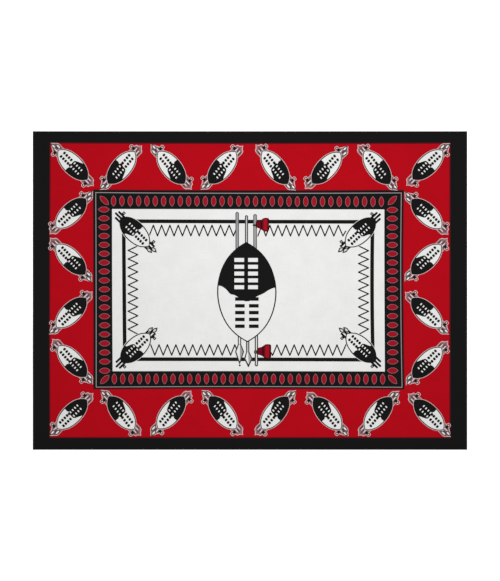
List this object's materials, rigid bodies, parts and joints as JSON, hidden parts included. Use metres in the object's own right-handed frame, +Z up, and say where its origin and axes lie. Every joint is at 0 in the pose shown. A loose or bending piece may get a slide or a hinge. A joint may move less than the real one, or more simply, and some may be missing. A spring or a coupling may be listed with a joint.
{
  "type": "kanga cloth",
  "caption": "Rectangular printed cotton kanga cloth lying flat and face up, with a border, a shield-and-spear print and narrow hems.",
  "frame": {"origin": "middle of the cloth, on the surface that it rests on", "axes": "+X along the long side, +Y along the short side towards the print's top, +Z up out of the printed face"},
  "size_m": [1.5, 1.1, 0.0038],
  "materials": {
    "printed_cotton": "matt plain-weave cotton, printed in red, black and grey on white"
  },
  "bodies": {
    "root": {"kanga_cloth": "printed_cotton"}
  },
  "joints": []
}
